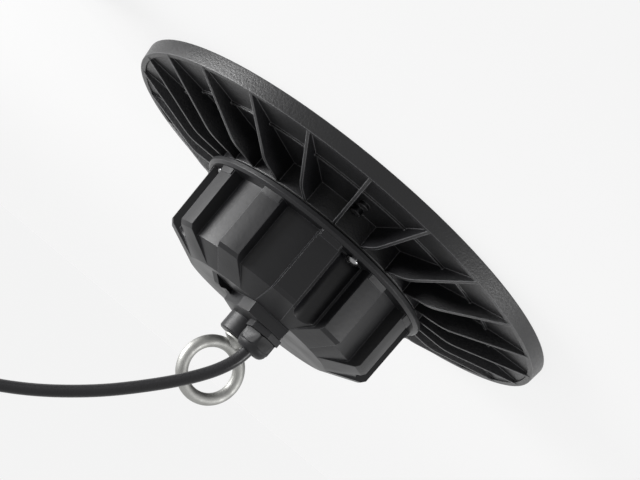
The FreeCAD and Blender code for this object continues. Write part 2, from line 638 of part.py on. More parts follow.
def cable_gland():
    spot = polar("gland_circle", "gland_angle", "0", 0)
    hex_top = GLAND_BASE + " + gland_hex_thick"
    neck_height = "(gland_cap_thick - 1.8)"
    thread = "(pad_block_rise + housing_wall + gland_nut_thick + 2)"
    body = fuse("gland_turned",
                hexagon("gland_hex", "gland_flat", "gland_hex_thick", z=GLAND_BASE, **spot),
                cylinder("gland_stem", "gland_thread", thread, z=GLAND_BASE + " - " + thread,
                         **spot),
                cylinder("gland_neck", "gland_thread", neck_height + " + 1",
                         z=hex_top + " - 1", **spot))
    body_bore = cylinder("gland_body_bore", "gland_bore", "60", z=GLAND_BASE + " - 30", **spot)
    node("gland_body", cut("gland_body_cut", body, body_bore))

    cap_low = hex_top + " + 0.3"
    block = hexagon("cap_hex", "gland_flat", "gland_cap_thick - 0.3", z=cap_low, **spot)
    limit = cone("cap_limit", "gland_flat * 0.56", "gland_flat * 0.53", "gland_cap_thick + 1",
                 z=cap_low + " - 0.5", **spot)
    dome = cone("cap_dome", "gland_flat / 2 - 0.2", "gland_flat / 2 - 1.2", "gland_dome / 2",
                z=hex_top + " + gland_cap_thick", **spot)
    tip = cone("cap_tip", "gland_flat / 2 - 1.2", "gland_flat / 2 - 3.6", "gland_dome / 2",
               z=hex_top + " + gland_cap_thick + gland_dome / 2", **spot)
    outside = fuse("cap_outside", common("cap_trim", block, limit), dome, tip)
    room = cylinder("cap_room", "gland_thread + 0.15", neck_height + " + 2.6",
                    z=cap_low + " - 0.3", **spot)
    mouth = cylinder("cap_mouth", "gland_bore", "40", z=cap_low, **spot)
    node("gland_cap", cut("cap_cut", outside, fuse("cap_inside", room, mouth)))

    seal_low = hex_top + " + " + neck_height
    bush = cylinder("seal_bush", "gland_thread - 0.1", "2.3", z=seal_low, **spot)
    bush_bore = cylinder("seal_bush_bore", "cord_radius + hole_play", "9",
                         z=seal_low + " - 3", **spot)
    node("gland_seal", cut("seal_bush_cut", bush, bush_bore))

    nut_low = WALL_UNDER + " - gland_nut_thick"
    nut = hexagon("lock_block", "gland_nut_flat", "gland_nut_thick", z=nut_low, **spot)
    nut_bore = cylinder("lock_bore", "gland_thread + hole_play", "3 * gland_nut_thick",
                        z=nut_low + " - gland_nut_thick", **spot)
    node("gland_locknut", cut("lock_cut", nut, nut_bore))


hanging_eye()
cable_gland()


# ---------------------------------------------------------------------------------------------
# Driver inside the housing
# ---------------------------------------------------------------------------------------------
SHEET_TOP = "(deck_top + sheet_thick)"
BOARD_LOW = "(deck_top + sheet_thick + spacer_height)"
BOARD_TOP = "(deck_top + sheet_thick + spacer_height + driver_board_thick)"
SPACER_SPOTS = [(-1, -1), (-1, 1), (1, -1), (1, 1)]


def driver():
    x_gland = "gland_circle * cos(gland_angle * 1 deg)"
    y_gland = "gland_circle * sin(gland_angle * 1 deg)"
    middle_y = "(-6)"
    disc = cylinder("sheet_disc", "sheet_radius", "sheet_thick", z="deck_top")
    opening = cylinder("sheet_bore", "wire_hole_radius + 3", "3 * sheet_thick",
                       z="deck_top - sheet_thick")
    node("insulating_sheet", cut("sheet_cut", disc, opening))
    spacers, screws, holes = [], [], []
    for i, (along, across) in enumerate(SPACER_SPOTS):
        spot = {"x": "%d * (driver_board_length / 2 - 10)" % along,
                "y": "%s + %d * (driver_board_width / 2 - 5)" % (middle_y, across)}
        bar = cylinder("spacer_bar_%d" % i, "2 * m3_shank", "spacer_height", z=SHEET_TOP, **spot)
        bore = cylinder("spacer_bore_%d" % i, "m3_shank + hole_play", "3 * spacer_height",
                        z=SHEET_TOP + " - spacer_height", **spot)
        spacers.append(cut("spacer_%d" % i, bar, bore))
        holes.append(cylinder("board_screw_bore_%d" % i, "m3_shank + hole_play",
                              "3 * driver_board_thick", z=BOARD_LOW + " - driver_board_thick",
                              **spot))
        screw = pan_screw("driver_screw_%d" % i, "m3_shank", "spacer_height - 0.5", "m3_head",
                          "m3_head_thick", down=False)
        screws.append(place(screw, z=BOARD_TOP, **spot))
    node("board_spacers", group("spacer_set", spacers))
    node("driver_screws", group("driver_screw_set", screws))
    board = box("board_blank", "driver_board_length", "driver_board_width", "driver_board_thick",
                x="-driver_board_length / 2", y=middle_y + " - driver_board_width / 2",
                z=BOARD_LOW)
    for side in (-1, 1):
        holes.append(cylinder("lead_bore_%d" % (side + 1), "lead_radius + hole_play",
                              "3 * driver_board_thick", x="%d * 4" % side,
                              z=BOARD_LOW + " - driver_board_thick"))
    node("driver_board", cut("board_cut", board, group("board_bores", holes)))

    core = box("core_block", "28", "26", "22", x="-33", y="-8", z=BOARD_TOP)
    coil = box("winding", "22", "34", "15", x="-30", y="-12", z=BOARD_TOP + " + 3.5")
    node("transformer", fuse("transformer_parts", core, coil))
    cans = []
    for i, (x, y) in enumerate(((22, 10), (22, -12))):
        can = cylinder("can_%d" % i, "9", "28", x=str(x), y=str(y), z=BOARD_TOP)
        cans.append(can)
    node("capacitors", group("can_set", cans))
    ring = doc.addObject("Part::Torus", "choke_ring")
    bind(ring, Radius1="5.2", Radius2="2.8")
    node("choke", place(ring, x="4", y="10", z=BOARD_TOP + " + 2.8"))
    block = box("terminal_body", "26", "9", "13", x=x_gland + " - 13", y=y_gland + " - 2.5",
                z=BOARD_TOP)
    node("terminal_block", block)

    cores = []
    for i in range(3):
        cores.append(cylinder("inner_core_%d" % i, "core_radius",
                              GLAND_BASE + " + 1.5 - " + BOARD_TOP + " - 13",
                              x=x_gland + " + %d * core_radius * 2.05" % (i - 1), y=y_gland,
                              z=BOARD_TOP + " + 13"))
    node("supply_cores", group("inner_core_set", cores))

    leads, bores = [], []
    for side in (-1, 1):
        spot = {"x": "%d * 4" % side}
        wire = cylinder("lead_%d" % (side + 1), "lead_radius",
                        BOARD_TOP + " + 1 - plate_bottom + board_thick",
                        z="plate_bottom - board_thick", **spot)
        dot = cylinder("lead_solder_%d" % (side + 1), "2 * lead_radius", "0.5",
                       z="plate_bottom - board_thick - 0.5", **spot)
        leads.append(fuse("soldered_lead_%d" % (side + 1), wire, dot))
        bores.append(cylinder("grommet_bore_%d" % (side + 1), "lead_radius + hole_play", "20",
                              z="deck_top - 10", **spot))
    node("led_leads", group("lead_pair", leads))
    bush = fuse("grommet_body",
                cylinder("grommet_stem", "wire_hole_radius - hole_play", "deck_thick",
                         z="deck_top - deck_thick"),
                cylinder("grommet_flange", "wire_hole_radius + 2", "1.5", z="deck_top"))
    node("lead_grommet", cut("grommet_cut", bush, group("grommet_bores", bores)))


driver()


# ---------------------------------------------------------------------------------------------
# Supply cord: free tube, round coil, tie and stripped end
# ---------------------------------------------------------------------------------------------
CORD_ROUTE = [
    (-9.6, -32.0, 86.0), (-9.6, -32.0, 101.0), (-5.0, -31.6, 115.5), (5.0, -30.4, 131.0),
    (20.5, -28.4, 149.5), (42.5, -25.6, 172.0), (72.5, -22.2, 195.5), (106.0, -19.4, 213.5),
    (141.0, -17.4, 220.5), (175.0, -15.6, 214.5), (203.0, -13.8, 194.0), (222.0, -12.4, 164.5),
    (234.0, -11.6, 130.0), (242.0, -11.8, 95.0), (248.0, -13.5, 62.5), (254.5, -19.0, 37.0),
    (263.0, -30.0, 17.5), (275.0, -46.0, 6.6), (289.0, -64.7, 4.8),
]


def rounded_path(points):
    """Straight runs joined by tangent arcs, each arc as large as its two runs allow."""
    spots = [V(*p) for p in points]
    edges, radii = [], []
    last = spots[0]
    for before, corner, after in zip(spots, spots[1:], spots[2:]):
        back, ahead = before - corner, after - corner
        half_turn = (math.pi - back.getAngle(ahead)) / 2
        trim = 0.45 * min(back.Length, ahead.Length)
        radius = trim / math.tan(half_turn)
        back.normalize()
        ahead.normalize()
        first, second = corner + back * trim, corner + ahead * trim
        inward = back + ahead
        inward.normalize()
        crown = corner + inward * (radius / math.cos(half_turn) - radius)
        if (first - last).Length > 1e-6:
            edges.append(Part.LineSegment(last, first).toShape())
        edges.append(Part.Arc(first, crown, second).toShape())
        radii.append(radius)
        last = second
    edges.append(Part.LineSegment(last, spots[-1]).toShape())
    return Part.Wire(edges), radii


def tube(name, points, radius):
    """Round cord swept along a rounded path; its volume has to match section times length."""
    path, radii = rounded_path(points)
    start, ahead = V(*points[0]), V(*points[1]) - V(*points[0])
    section = Part.Wire(Part.makeCircle(radius, start, ahead))
    solid = path.makePipeShell([section], True, False)
    expected = math.pi * radius ** 2 * path.Length
    if abs(solid.Volume / expected - 1) > 0.01:
        raise RuntimeError("%s: volume %.0f, expected %.0f" % (name, solid.Volume, expected))
    shown = " ".join("%.0f" % value for value in radii)
    print("%s: length %.1f mm, radii %s" % (name, path.Length, shown))
    obj = doc.addObject("Part::Feature", name + "_tube")
    obj.Shape = solid
    obj.Placement = FreeCAD.Placement()
    return node(name, obj)


def cord():
    coil_low = "tie_thick"
    wide = "(coil_turns_wide * cord_radius)"
    high = "(2 * coil_turns_high * cord_radius)"
    centre = {"x": "coil_x", "y": "coil_y"}
    tube("power_cord", CORD_ROUTE, D["cord_radius"])
    ring = fuse("coil_ring_blank",
                cylinder("coil_middle", "coil_radius + " + wide, high + " - 4",
                         z=coil_low + " + 2", **centre),
                cone("coil_low_edge", "coil_radius + " + wide + " - 2", "coil_radius + " + wide,
                     "2", z=coil_low, **centre),
                cone("coil_high_edge", "coil_radius + " + wide, "coil_radius + " + wide + " - 2",
                     "2", z=coil_low + " + " + high + " - 2", **centre))
    hole = cylinder("coil_hole", "coil_radius - " + wide, high + " * 3",
                    z=coil_low + " - " + high, **centre)
    node("cord_coil", cut("coil_cut", ring, hole))

    angle = math.radians(D["tail_angle"])
    outward = V(math.cos(angle), math.sin(angle), 0)
    along = V(math.sin(angle), -math.cos(angle), 0)
    side = D["coil_radius"]
    rim = math.sqrt((side + D["coil_turns_wide"] * D["cord_radius"]) ** 2 - side ** 2)
    start = V(D["coil_x"], D["coil_y"], D["tie_thick"] + D["cord_radius"]) + outward * side
    stop = D["tail_length"]
    tail = [tuple(start + along * (rim - 2 + stop * part) + outward * bend)
            for part, bend in ((0, 0), (1 / 3, 0.8), (2 / 3, 3.6), (1, 9.0))]
    tube("cord_tail", tail, D["cord_radius"])
    heading = V(*tail[-1]) - V(*tail[-2])
    heading.normalize()
    across = V(-heading.y, heading.x, 0)
    end = V(*tail[-1])
    ferrules = []
    fan = (("core_live", -1, -6.0), ("core_earth", 0, 1.0), ("core_neutral", 1, 6.0))
    for name, rank, spread in fan:
        offset = rank * 2.05 * D["core_radius"]
        start = end + across * offset
        knee = start + heading * (D["core_length"] * 0.4) + across * (spread * 0.35)
        tip = start + heading * D["core_length"] + across * spread
        tube(name, [tuple(start), tuple(knee), tuple(tip)], D["core_radius"])
        way = tip - knee
        way.normalize()
        ferrules.append(Part.makeCylinder(D["ferrule_radius"], D["ferrule_length"], tip, way))
    ends = doc.addObject("Part::Feature", "ferrule_set")
    ends.Shape = Part.makeCompound(ferrules)
    node("core_ferrules", ends)

    band = "(%s + 0.6)" % wide
    outside = box("tie_outside", "tie_width", "2 * (%s + tie_thick)" % band,
                  high + " + 2 * tie_thick + 0.3", x="coil_x - tie_width / 2",
                  y="coil_y - coil_radius - %s - tie_thick" % band, z="0")
    inside = box("tie_inside", "3 * tie_width", "2 * " + band, high + " + 0.3",
                 x="coil_x - 1.5 * tie_width", y="coil_y - coil_radius - " + band,
                 z="tie_thick")
    node("cord_tie", cut("tie_cut", outside, inside))


cord()


# ---------------------------------------------------------------------------------------------
# Checks and export
# ---------------------------------------------------------------------------------------------
def export_all():
    doc.recompute()
    for obj in doc.Objects:
        if "Invalid" in obj.State or "Error" in obj.State:
            raise RuntimeError("%s failed: %s" % (obj.Name, obj.State))
    for name, obj in NODES.items():
        shape = obj.Shape
        if shape.isNull() or not shape.isValid() or not shape.Solids:
            raise RuntimeError("%s has no valid solid" % name)
        box_size = shape.BoundBox
        print("%-18s %3d solids %9.1f mm3  z %7.2f to %7.2f" % (
            name, len(shape.Solids), shape.Volume, box_size.ZMin, box_size.ZMax))
    os.makedirs("parts", exist_ok=True)
    for name, obj in NODES.items():
        obj.Shape.exportStep("parts/%s.step" % name)


export_all()
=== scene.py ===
"""Dress the high bay light: finishes, hanging eye, cable gland, screws, lens and supply cord.

Metres in the row frame: +Z up along the lamp's axis, origin under the rim, on which it rests.
"""
import math

import bmesh
import bpy
from mathutils import Matrix, Vector


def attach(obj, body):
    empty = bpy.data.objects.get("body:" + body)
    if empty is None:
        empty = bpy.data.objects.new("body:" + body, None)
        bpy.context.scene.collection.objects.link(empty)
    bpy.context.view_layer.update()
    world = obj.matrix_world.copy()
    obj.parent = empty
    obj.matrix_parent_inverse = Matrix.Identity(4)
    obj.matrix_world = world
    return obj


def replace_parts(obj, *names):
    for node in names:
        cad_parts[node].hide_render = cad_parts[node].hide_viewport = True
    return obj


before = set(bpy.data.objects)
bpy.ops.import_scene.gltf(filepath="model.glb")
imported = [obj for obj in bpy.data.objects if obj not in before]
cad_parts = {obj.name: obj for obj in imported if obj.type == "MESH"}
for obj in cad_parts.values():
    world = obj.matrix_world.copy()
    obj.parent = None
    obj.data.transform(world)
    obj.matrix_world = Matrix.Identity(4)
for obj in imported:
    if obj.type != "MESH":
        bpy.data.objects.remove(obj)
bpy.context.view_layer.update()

bl_info = {
    "name": "High Bay Light",
    "version": (1, 0, 0),
    "blender": (4, 5, 0),
    "location": "View3D > Sidebar > High Bay",
    "description": "Dress a high bay light: finishes, hanging eye, gland, screws, lens and cord",
    "category": "Object",
}

MM = 0.001


# ---------------------------------------------------------------------------------------------
# Settings
# ---------------------------------------------------------------------------------------------
def hex_color(code):
    """Linear RGBA from an sRGB hex value such as "1A1B1D"."""
    parts = [int(code[i:i + 2], 16) / 255 for i in (0, 2, 4)]
    linear = [c / 12.92 if c <= 0.04045 else ((c + 0.055) / 1.055) ** 2.4 for c in parts]
    return (*linear, 1.0)


def color_setting(name, description, code):
    """Colour property with an sRGB hex default."""
    return bpy.props.FloatVectorProperty(
        name=name, description=description, subtype="COLOR", size=4, min=0, max=1,
        default=hex_color(code))


def length_setting(name, description, default):
    """Length property in metres."""
    return bpy.props.FloatProperty(name=name, description=description, unit="LENGTH",
                                   default=default)


class HighBayFinish(bpy.types.PropertyGroup):
    sink: color_setting("Heat sink", "Powder coat on the heat sink", "0F0F11")
    housing: color_setting("Housing", "Powder coat on the driver housing", "131315")
    nylon: color_setting("Gland", "Moulded nylon of the cable gland", "18181A")
    sheath: color_setting("Cord", "Sheath of the supply cord", "1B1B1D")
    zinc: color_setting("Hanging eye", "Zinc plated forged steel", "A6A6A3")
    lens: color_setting("Lens", "Frosted polycarbonate", "E8ECEE")


class HighBayCord(bpy.types.PropertyGroup):
    diameter: length_setting("Cord diameter", "Thickness of the supply cord", 7.2 * MM)
    coil_radius: length_setting("Coil radius", "Middle of the coil's turns", 44.0 * MM)
    coil_x: length_setting("Coil X", "Place of the coil's centre along X", 250.0 * MM)
    coil_y: length_setting("Coil Y", "Place of the coil's centre along Y", -92.0 * MM)


class HighBayStage(bpy.types.PropertyGroup):
    lens_length: bpy.props.FloatProperty(
        name="Focal length", description="Focal length of the camera in millimetres",
        default=65.8)
    main_power: bpy.props.FloatProperty(
        name="Main light", description="Power of the main softbox", unit="POWER", default=24.0)
    side_power: bpy.props.FloatProperty(
        name="Side light", description="Power of the second softbox", unit="POWER", default=5.0)
    world_strength: bpy.props.FloatProperty(
        name="Surround", description="Strength of the white surround", default=0.35)


# ---------------------------------------------------------------------------------------------
# Materials
# ---------------------------------------------------------------------------------------------
def add_node(tree, kind, settings=None, inputs=None):
    """Add a shader node with its properties, and with its sockets set or linked."""
    node = tree.nodes.new(kind)
    for name, value in (settings or {}).items():
        setattr(node, name, value)
    for name, value in (inputs or {}).items():
        if isinstance(value, bpy.types.NodeSocket):
            tree.links.new(value, node.inputs[name])
        else:
            node.inputs[name].default_value = value
    return node


def new_material(name, color, roughness, metallic=0.0):
    """Material with a Principled surface and object coordinates."""
    material = bpy.data.materials.new(name)
    material.use_nodes = True
    tree = material.node_tree
    surface = tree.nodes["Principled BSDF"]
    surface.inputs["Base Color"].default_value = color
    surface.inputs["Roughness"].default_value = roughness
    surface.inputs["Metallic"].default_value = metallic
    spot = add_node(tree, "ShaderNodeTexCoord").outputs["Object"]
    return material, tree, surface, spot


def noise(tree, spot, size_mm, detail=2.0, rough=0.5):
    """Noise whose lumps are about size_mm across."""
    node = add_node(tree, "ShaderNodeTexNoise", None,
                    {"Vector": spot, "Scale": 1000.0 / size_mm, "Detail": detail,
                     "Roughness": rough})
    return node.outputs["Fac"]


def spread(tree, value, low, high, from_low=0.3, from_high=0.7):
    """Map a pattern onto the range from low to high."""
    node = add_node(tree, "ShaderNodeMapRange", None,
                    {"Value": value, "From Min": from_low, "From Max": from_high,
                     "To Min": low, "To Max": high})
    return node.outputs["Result"]


def bump(tree, surface, height, depth_mm, edge=None):
    """Relief from a pattern, on the plain normal or on one that is rounded at the edges."""
    node = add_node(tree, "ShaderNodeBump", None,
                    {"Height": height, "Distance": depth_mm * MM})
    if edge:
        tree.links.new(edge, node.inputs["Normal"])
    tree.links.new(node.outputs["Normal"], surface.inputs["Normal"])


def rounded_edges(tree, radius_mm):
    """Normal that turns over the edges, and a mask that is 1 on them."""
    edge = add_node(tree, "ShaderNodeBevel", {"samples": 6}, {"Radius": radius_mm * MM})
    flat = add_node(tree, "ShaderNodeNewGeometry")
    same = add_node(tree, "ShaderNodeVectorMath", {"operation": "DOT_PRODUCT"},
                    {0: edge.outputs["Normal"], 1: flat.outputs["Normal"]})
    return edge.outputs["Normal"], spread(tree, same.outputs["Value"], 0.0, 1.0, 0.99, 0.8)


def blend_colors(tree, factor, first, second):
    """Mix two colours, or the outputs that carry them, by a factor."""
    node = add_node(tree, "ShaderNodeMix", {"data_type": "RGBA"},
                    {0: factor, 6: first, 7: second})
    return node.outputs[2]


def shade(color, factor):
    """A colour made darker or lighter."""
    return (*[min(1.0, c * factor) for c in color[:3]], 1.0)


def textured_powder_coat(color):
    """Powder coat, fine texture, on die-cast aluminium: a pebbled film that breaks up highlights.

    The edges carry a painted highlight: a lighter grey where they would catch the light.
    The grain is 1.1 mm against about 0.6 mm on the real coat, so that it shows.
    """
    material, tree, surface, spot = new_material("powder coat fine texture", color, 0.5)
    surface.inputs["Specular IOR Level"].default_value = 0.4
    grain = noise(tree, spot, 1.1, 3.0, 0.6)
    tree.links.new(spread(tree, grain, 0.3, 0.48), surface.inputs["Roughness"])
    edge, painted_edge_highlight = rounded_edges(tree, 0.8)
    coat = blend_colors(tree, spread(tree, noise(tree, spot, 38.0), 0.0, 1.0), color,
                        shade(color, 1.22))
    # painted highlight: the edge mask mixes a light grey into the coat where edges would catch
    # light
    tree.links.new(blend_colors(tree, painted_edge_highlight, coat, hex_color("7A7A7C")),
                   surface.inputs["Base Color"])
    bump(tree, surface, grain, 0.16, edge)
    return material


def satin_powder_coat(color):
    """Satin powder coat on die-cast aluminium: slight orange peel, soft broad highlights.

    The edges carry a painted highlight: a lighter grey where they would catch the light.
    """
    material, tree, surface, spot = new_material("powder coat satin", color, 0.34)
    surface.inputs["Specular IOR Level"].default_value = 0.3
    peel = noise(tree, spot, 2.2, 2.0)
    tree.links.new(spread(tree, noise(tree, spot, 26.0), 0.34, 0.46), surface.inputs["Roughness"])
    edge, painted_edge_highlight = rounded_edges(tree, 0.5)
    coat = blend_colors(tree, spread(tree, noise(tree, spot, 45.0), 0.0, 1.0), color,
                        shade(color, 1.18))
    # painted highlight: the edge mask mixes a lighter grey into the coat where edges would catch
    # light
    tree.links.new(blend_colors(tree, painted_edge_highlight, coat, hex_color("48484B")),
                   surface.inputs["Base Color"])
    bump(tree, surface, peel, 0.05, edge)
    return material


def moulded_nylon(name, color):
    """Glass-filled nylon, injection moulded: dull sheen with a fine spark-eroded grain."""
    material, tree, surface, spot = new_material(name, color, 0.48)
    surface.inputs["Specular IOR Level"].default_value = 0.3
    grain = noise(tree, spot, 0.7, 2.0)
    tree.links.new(spread(tree, grain, 0.42, 0.55), surface.inputs["Roughness"])
    bump(tree, surface, grain, 0.04, rounded_edges(tree, 0.4)[0])
    return material


def zinc_plated_steel(color):
    """Zinc plated forged steel: bright, slightly cloudy, with the soft lumps of the forging."""
    material, tree, surface, spot = new_material("zinc plated steel", color, 0.5, 1.0)
    cloud = noise(tree, spot, 5.0, 4.0, 0.6)
    tree.links.new(spread(tree, cloud, 0.43, 0.62), surface.inputs["Roughness"])
    tree.links.new(blend_colors(tree, spread(tree, noise(tree, spot, 9.0), 0.0, 1.0),
                                shade(color, 0.74), color), surface.inputs["Base Color"])
    bump(tree, surface, cloud, 0.2)
    return material


def machined_steel(color):
    """Stainless steel screw, cold headed: bright, with a finely mottled sheen."""
    material, tree, surface, spot = new_material("stainless steel cold headed", color, 0.25, 1.0)
    marks = noise(tree, spot, 0.5, 2.0)
    tree.links.new(spread(tree, marks, 0.18, 0.34), surface.inputs["Roughness"])
    return material


def pvc_sheath(color):
    """Black PVC sheath, extruded: smooth satin skin, a little uneven in tone."""
    material, tree, surface, spot = new_material("PVC sheath extruded", color, 0.3)
    surface.inputs["Specular IOR Level"].default_value = 0.3
    skin = noise(tree, spot, 1.5, 2.0)
    tree.links.new(spread(tree, skin, 0.24, 0.36), surface.inputs["Roughness"])
    tree.links.new(blend_colors(tree, spread(tree, noise(tree, spot, 20.0), 0.0, 1.0), color,
                                shade(color, 1.25)), surface.inputs["Base Color"])
    bump(tree, surface, skin, 0.03)
    return material


def moulded_rubber(name, code, roughness=0.62):
    """Moulded rubber or silicone: matt, a little uneven in tone."""
    color = hex_color(code)
    material, tree, surface, spot = new_material(name, color, roughness)
    tree.links.new(blend_colors(tree, spread(tree, noise(tree, spot, 6.0), 0.0, 1.0),
                                shade(color, 0.88), color), surface.inputs["Base Color"])
    bump(tree, surface, noise(tree, spot, 0.8), 0.03)
    return material


def speckled(name, code, roughness, size_mm, depth_mm, metallic=0.0):
    """Plain finish with a faint change of tone and a little relief."""
    color = hex_color(code)
    material, tree, surface, spot = new_material(name, color, roughness, metallic)
    pattern = noise(tree, spot, size_mm, 3.0)
    tree.links.new(blend_colors(tree, spread(tree, pattern, 0.0, 1.0), shade(color, 0.85),
                                shade(color, 1.05)), surface.inputs["Base Color"])
    bump(tree, surface, pattern, depth_mm)
    return material


def frosted_polycarbonate(color):
    """Injection moulded polycarbonate optic: clear resin with a light frost inside."""
    material, tree, surface, spot = new_material("polycarbonate frosted", color, 0.22)
    surface.inputs["IOR"].default_value = 1.585
    surface.inputs["Transmission Weight"].default_value = 0.75
    tree.links.new(spread(tree, noise(tree, spot, 1.2), 0.16, 0.3), surface.inputs["Roughness"])
    return material


def striped_core():
    """Green and yellow earth core: PVC insulation with yellow bands along it."""
    green, yellow = hex_color("2E8B3A"), hex_color("E2C531")
    material, tree, surface, spot = new_material("PVC core green yellow", green, 0.4)
    bands = add_node(tree, "ShaderNodeTexWave", {"bands_direction": "Y"},
                     {"Vector": spot, "Scale": 38.0, "Distortion": 0.4})
    step = spread(tree, bands.outputs["Fac"], 0.0, 1.0, 0.6, 0.68)
    tree.links.new(blend_colors(tree, step, green, yellow), surface.inputs["Base Color"])
    return material


def dress(name, material):
    """Give a CAD node its finish."""
    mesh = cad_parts[name].data
    if not mesh.materials:
        mesh.materials.append(material)
    for index in range(len(mesh.materials)):
        mesh.materials[index] = material


# ---------------------------------------------------------------------------------------------
# Modelling helpers
# ---------------------------------------------------------------------------------------------
def deselect():
    """Go to object mode with nothing selected."""
    if bpy.context.mode != "OBJECT":
        bpy.ops.object.mode_set(mode="OBJECT")
    bpy.ops.object.select_all(action="DESELECT")


def only(obj):
    """Make this the one selected and active object."""
    deselect()
    obj.select_set(True)
    bpy.context.view_layer.objects.active = obj


def settle(obj, name):
    """Move the object's place into its mesh, name it and let it ride on the lamp."""
    only(obj)
    bpy.ops.object.transform_apply(location=True, rotation=True, scale=True)
    obj.name = name
    obj.data.name = name
    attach(obj, "root")
    return obj


def bevel_edges(obj, width, segments, angle):
    """Round the edges sharper than an angle in degrees."""
    only(obj)
    mod = obj.modifiers.new("Bevel", "BEVEL")
    mod.width = width
    mod.segments = segments
    mod.limit_method = "ANGLE"
    mod.angle_limit = math.radians(angle)
    bpy.ops.object.modifier_apply(modifier=mod.name)


def smooth(obj, angle):
    """Shade smoothly but for the edges sharper than an angle in degrees."""
    only(obj)
    bpy.ops.object.shade_smooth_by_angle(angle=math.radians(angle))


def lathe(name, profile, segments=64):
    """Turn a profile of (radius, height) points in millimetres about the Z axis."""
    deselect()
    bpy.ops.mesh.primitive_plane_add(size=0.001)
    obj = bpy.context.object
    obj.name = name
    bpy.ops.object.mode_set(mode="EDIT")
    outline = bmesh.from_edit_mesh(obj.data)
    outline.clear()
    points = [outline.verts.new((r * MM, 0.0, z * MM)) for r, z in profile]
    for first, second in zip(points, points[1:]):
        outline.edges.new((first, second))
    bmesh.update_edit_mesh(obj.data)
    bpy.ops.mesh.select_all(action="SELECT")
    bpy.ops.mesh.spin(steps=segments, angle=2 * math.pi, center=(0, 0, 0), axis=(0, 0, 1))
    bpy.ops.mesh.select_all(action="SELECT")
    bpy.ops.mesh.remove_doubles(threshold=0.00001)
    bpy.ops.mesh.normals_make_consistent(inside=False)
    bpy.ops.object.mode_set(mode="OBJECT")
    return obj


def carve(obj, cutter, operation="DIFFERENCE"):
    """Cut the second object out of the first, or keep what both share, and drop the second."""
    only(obj)
    mod = obj.modifiers.new("Carve", "BOOLEAN")
    mod.operation = operation
    mod.object = cutter
    mod.solver = "EXACT"
    bpy.ops.object.modifier_apply(modifier=mod.name)
    bpy.data.objects.remove(cutter)


def copy_to(source, where, turn):
    """Copy of a finished piece, with its own mesh, at a place and turn about Z."""
    twin = source.copy()
    twin.data = source.data.copy()
    bpy.context.scene.collection.objects.link(twin)
    twin.matrix_world = Matrix.Translation(where) @ Matrix.Rotation(turn, 4, "Z")
    return twin


def joined(objects):
    """Join the objects into the first of them."""
    deselect()
    for obj in objects:
        obj.select_set(True)
    bpy.context.view_layer.objects.active = objects[0]
    bpy.ops.object.join()
    return objects[0]


def round_of(source, radius, count, first_angle, height):
    """Copies of a piece at even steps round the lamp's axis, joined; the source is dropped."""
    copies = []
    for index in range(count):
        angle = first_angle + index * 2 * math.pi / count
        where = Vector((radius * math.cos(angle), radius * math.sin(angle), height)) * MM
        copies.append(copy_to(source, where, angle))
    bpy.data.objects.remove(source)
    return joined(copies)


# ---------------------------------------------------------------------------------------------
# Supply cord, in millimetres and degrees
# ---------------------------------------------------------------------------------------------
CORD_ROUTE = [
    (-9.6, -32.0, 86.0), (-9.6, -32.0, 101.0), (-5.0, -31.6, 115.5), (5.0, -30.4, 131.0),
    (20.5, -28.4, 149.5), (42.5, -25.6, 172.0), (72.5, -22.2, 195.5), (106.0, -19.4, 213.5),
    (141.0, -17.4, 220.5), (175.0, -15.6, 214.5), (203.0, -13.8, 194.0), (222.0, -12.4, 164.5),
    (234.0, -11.6, 130.0), (242.0, -11.8, 95.0), (248.0, -13.5, 62.5), (254.5, -19.0, 37.0),
    (263.0, -30.0, 17.5), (275.0, -46.0, 6.6),
]
# each lay's turn so far, its offset from the coil's radius and its height
COIL_LAYS = [(0, 3.6, 4.8), (300, 3.6, 4.8), (360, -3.6, 4.8), (600, -3.6, 4.8),
             (660, -3.6, 12.0), (900, -3.6, 12.0), (960, 3.6, 12.0), (1170, 3.6, 12.0)]
COIL_START, COIL_STEP = 35, 22.5
CORD_TAIL = [(228.0, -150.5, 7.0), (212.5, -161.0, 4.8), (197.9, -174.8, 4.8)]


def coil_points(settings):
    """Turns of the coil, outer ones first, laid in two layers with easy crossovers."""
    centre = Vector((settings.coil_x, settings.coil_y, 0))
    points = []
    # a spline of order 3 runs inside its control points by this share
    fill = 0.75 + 0.25 * math.cos(math.radians(COIL_STEP))
    for index in range(int(COIL_LAYS[-1][0] // COIL_STEP) + 1):
        turned = index * COIL_STEP
        before = max(lay for lay in COIL_LAYS if lay[0] <= turned)
        after = min((lay for lay in COIL_LAYS if lay[0] > turned), default=before)
        span = max(after[0] - before[0], 1)
        part = min((turned - before[0]) / span, 1.0)
        part = part * part * (3 - 2 * part)  # starts and ends level
        offset = before[1] + (after[1] - before[1]) * part
        height = before[2] + (after[2] - before[2]) * part
        radius = (settings.coil_radius + offset * MM) / fill
        angle = math.radians(COIL_START - turned)
        points.append(centre + Vector((radius * math.cos(angle), radius * math.sin(angle),
                                       height * MM)))
    return points


